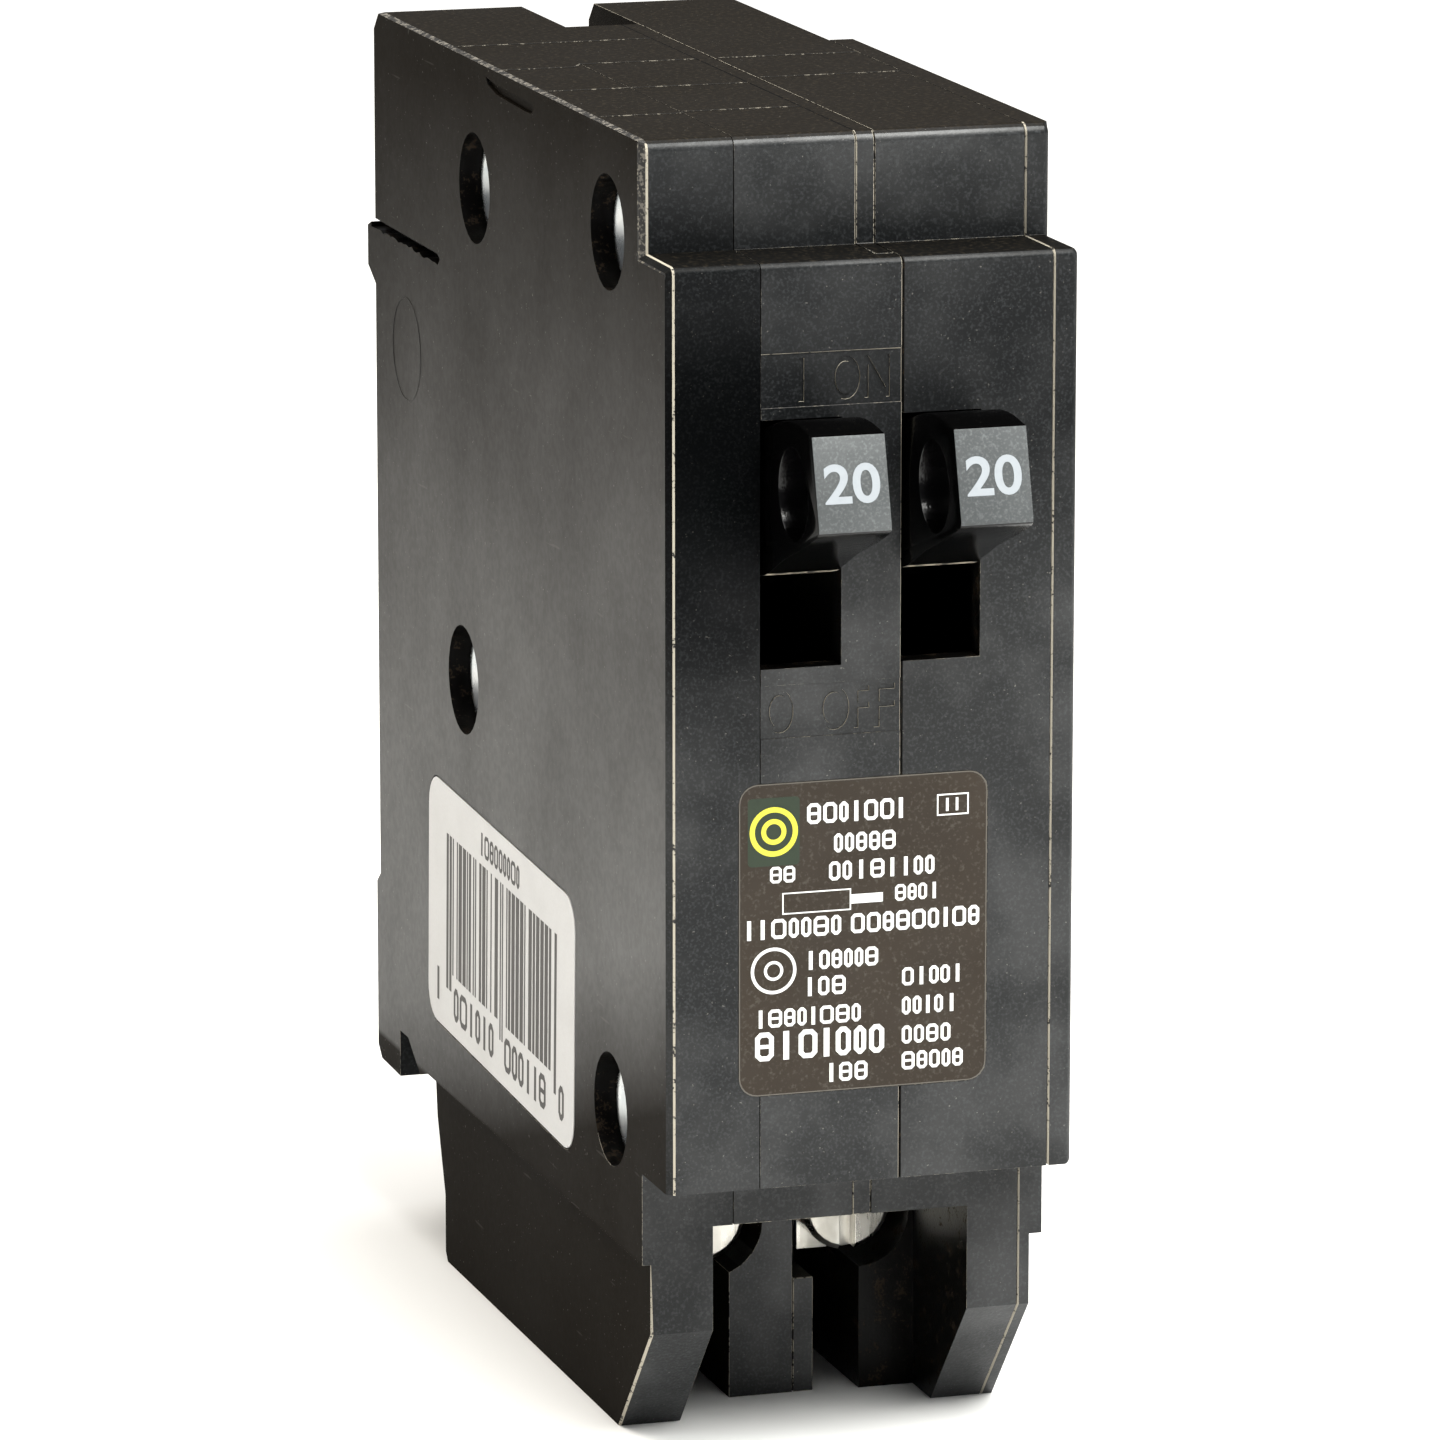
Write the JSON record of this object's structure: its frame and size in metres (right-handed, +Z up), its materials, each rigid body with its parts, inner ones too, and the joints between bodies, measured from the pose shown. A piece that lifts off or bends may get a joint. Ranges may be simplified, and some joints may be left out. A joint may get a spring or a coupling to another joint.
{
  "type": "plug-on tandem circuit breaker",
  "caption": "Plug-on circuit breaker with two narrow poles in one stack of moulded cases, two rocking handles, screw terminals below and a stab jaw at the back.",
  "frame": {"origin": "centre of the bounding box's bottom: under the middle of the breaker, level with the feet of its legs", "axes": "+X across the stack towards the cover on the right, +Y from the handles towards the back, +Z up from the load end to the line end"},
  "size_m": [0.0254, 0.0768, 0.0802],
  "materials": {
    "case_plastic": "black moulded thermoset, satin, lightly mottled",
    "handle_plastic": "black moulded plastic, satin sides and a matt tip",
    "rating_label": "dark brown printed film",
    "paper_sticker": "off-white paper with dark bars",
    "zinc_plate": "zinc-plated steel",
    "copper": "bare copper",
    "silver": "silver contact alloy",
    "steel": "bright steel",
    "bimetal": "rolled bimetal",
    "fibre": "red vulcanised fibre"
  },
  "bodies": {
    "case": {"left_case": "case_plastic", "middle_case": "case_plastic", "partition": "case_plastic", "right_case": "case_plastic", "right_cover": "case_plastic", "rivet_1": "zinc_plate", "rivet_2": "zinc_plate", "rivet_3": "zinc_plate", "rivet_4": "zinc_plate", "front_label": "rating_label", "side_label": "paper_sticker", "line_jaw": "copper", "jaw_spring": "steel", "fixed_contact_a": "silver", "handle_pin_a": "steel", "lever_pin_a": "steel", "bimetal_a": "bimetal", "yoke_a": "steel", "braid_a": "copper", "load_terminal_a": "copper", "arc_sheet_a": "fibre", "arc_plate_a_1": "steel", "arc_plate_a_2": "steel", "arc_plate_a_3": "steel", "fixed_contact_b": "silver", "handle_pin_b": "steel", "lever_pin_b": "steel", "bimetal_b": "bimetal", "yoke_b": "steel", "braid_b": "copper", "load_terminal_b": "copper", "arc_sheet_b": "fibre", "arc_plate_b_1": "steel", "arc_plate_b_2": "steel", "arc_plate_b_3": "steel"},
    "handle_a": {"handle_a": "handle_plastic", "arm_pin_a": "steel"},
    "arm_a": {"contact_arm_a": "copper", "moving_contact_a": "silver", "toggle_spring_a": "steel"},
    "lever_a": {"trip_lever_a": "steel"},
    "armature_a": {"armature_a": "steel"},
    "clamp_a": {"pressure_plate_a": "zinc_plate"},
    "screw_a": {"terminal_screw_a": "zinc_plate"},
    "handle_b": {"handle_b": "handle_plastic", "arm_pin_b": "steel"},
    "arm_b": {"contact_arm_b": "copper", "moving_contact_b": "silver", "toggle_spring_b": "steel"},
    "lever_b": {"trip_lever_b": "steel"},
    "armature_b": {"armature_b": "steel"},
    "clamp_b": {"pressure_plate_b": "zinc_plate"},
    "screw_b": {"terminal_screw_b": "zinc_plate"}
  },
  "joints": [
    {"name": "handle_a_swing", "type": "hinge", "parent": "case", "child": "handle_a", "pos_m": [-0.00435, -0.01848, 0.05655], "axis": [1, 0, 0], "range_deg": [0, 31]},
    {"name": "arm_a_swing", "type": "hinge", "parent": "handle_a", "child": "arm_a", "pos_m": [-0.00435, -0.01398, 0.05535], "axis": [1, 0, 0], "range_deg": [-47, 0]},
    {"name": "lever_a_trip", "type": "hinge", "parent": "case", "child": "lever_a", "pos_m": [-0.00435, 0.00752, 0.0663], "axis": [1, 0, 0], "range_deg": [-9, 0]},
    {"name": "armature_a_pull", "type": "hinge", "parent": "case", "child": "armature_a", "pos_m": [-0.00435, -0.00828, 0.0267], "axis": [1, 0, 0], "range_deg": [-4, 0], "stiffness_Nm_per_rad": 0.002},
    {"name": "clamp_a_close", "type": "slide", "parent": "case", "child": "clamp_a", "axis": [0, 1, 0], "range_m": [0, 0.002]},
    {"name": "screw_a_turn", "type": "hinge", "parent": "clamp_a", "child": "screw_a", "pos_m": [-0.0051, -0.01088, 0.0111], "axis": [0, 1, 0], "range_deg": [0, 905]},
    {"name": "handle_b_swing", "type": "hinge", "parent": "case", "child": "handle_b", "pos_m": [0.0043, -0.01848, 0.05655], "axis": [1, 0, 0], "range_deg": [0, 31]},
    {"name": "arm_b_swing", "type": "hinge", "parent": "handle_b", "child": "arm_b", "pos_m": [0.0043, -0.01398, 0.05535], "axis": [1, 0, 0], "range_deg": [-47, 0]},
    {"name": "lever_b_trip", "type": "hinge", "parent": "case", "child": "lever_b", "pos_m": [0.0043, 0.00752, 0.0663], "axis": [1, 0, 0], "range_deg": [-9, 0]},
    {"name": "armature_b_pull", "type": "hinge", "parent": "case", "child": "armature_b", "pos_m": [0.0043, -0.00828, 0.0267], "axis": [1, 0, 0], "range_deg": [-4, 0], "stiffness_Nm_per_rad": 0.002},
    {"name": "clamp_b_close", "type": "slide", "parent": "case", "child": "clamp_b", "axis": [0, 1, 0], "range_m": [0, 0.002]},
    {"name": "screw_b_turn", "type": "hinge", "parent": "clamp_b", "child": "screw_b", "pos_m": [0.0043, -0.01088, 0.0111], "axis": [0, 1, 0], "range_deg": [0, 905]}
  ],
  "couplings": [
    {"joint": "arm_a_swing", "follows": "handle_a_swing", "ratio": -1.5},
    {"joint": "screw_a_turn", "follows": "clamp_a_close", "rad_per_m": 7854},
    {"joint": "arm_b_swing", "follows": "handle_b_swing", "ratio": -1.5},
    {"joint": "screw_b_turn", "follows": "clamp_b_close", "rad_per_m": 7854}
  ]
}
